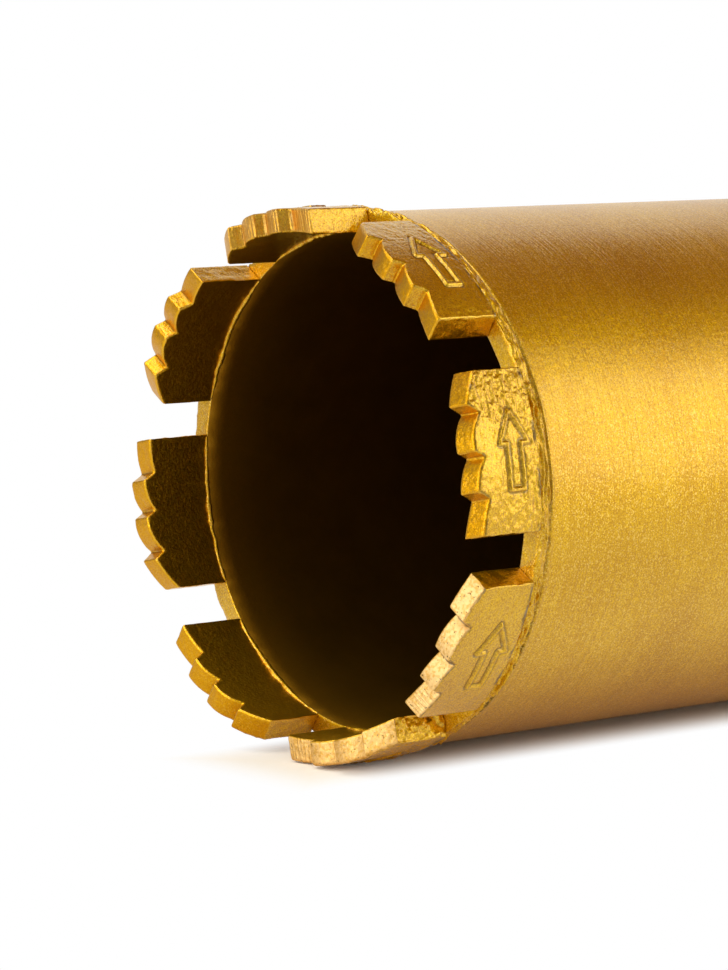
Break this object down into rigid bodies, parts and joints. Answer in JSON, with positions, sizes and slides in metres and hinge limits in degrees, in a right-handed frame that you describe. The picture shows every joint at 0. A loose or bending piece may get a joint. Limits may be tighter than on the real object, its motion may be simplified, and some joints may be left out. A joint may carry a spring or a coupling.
{
  "type": "diamond core bit",
  "caption": "Diamond core bit for concrete: a gold-painted steel barrel with toothed segments welded round its rim, closed at the rear by an end plate with a threaded hub.",
  "frame": {"origin": "centre of the hub's end face, on the tool's axis; the tool stands there with its teeth up", "axes": "+Z along the tool's axis towards the cutting end; +X and +Y each pass through a water gap between two segments"},
  "size_m": [0.0816, 0.0816, 0.37],
  "materials": {
    "barrel_paint": "gold metallic paint over a turned steel tube, satin",
    "segment_paint": "gold metallic paint over rough sintered metal, satin",
    "plate_paint": "gold metallic paint over turned steel, satin",
    "hub_steel": "turned steel, lightly oiled, gold overspray"
  },
  "bodies": {
    "root": {"barrel": "barrel_paint", "segment_1": "segment_paint", "segment_2": "segment_paint", "segment_3": "segment_paint", "segment_4": "segment_paint", "segment_5": "segment_paint", "segment_6": "segment_paint", "segment_7": "segment_paint", "segment_8": "segment_paint", "end_plate": "plate_paint", "threaded_hub": "hub_steel"}
  },
  "joints": []
}
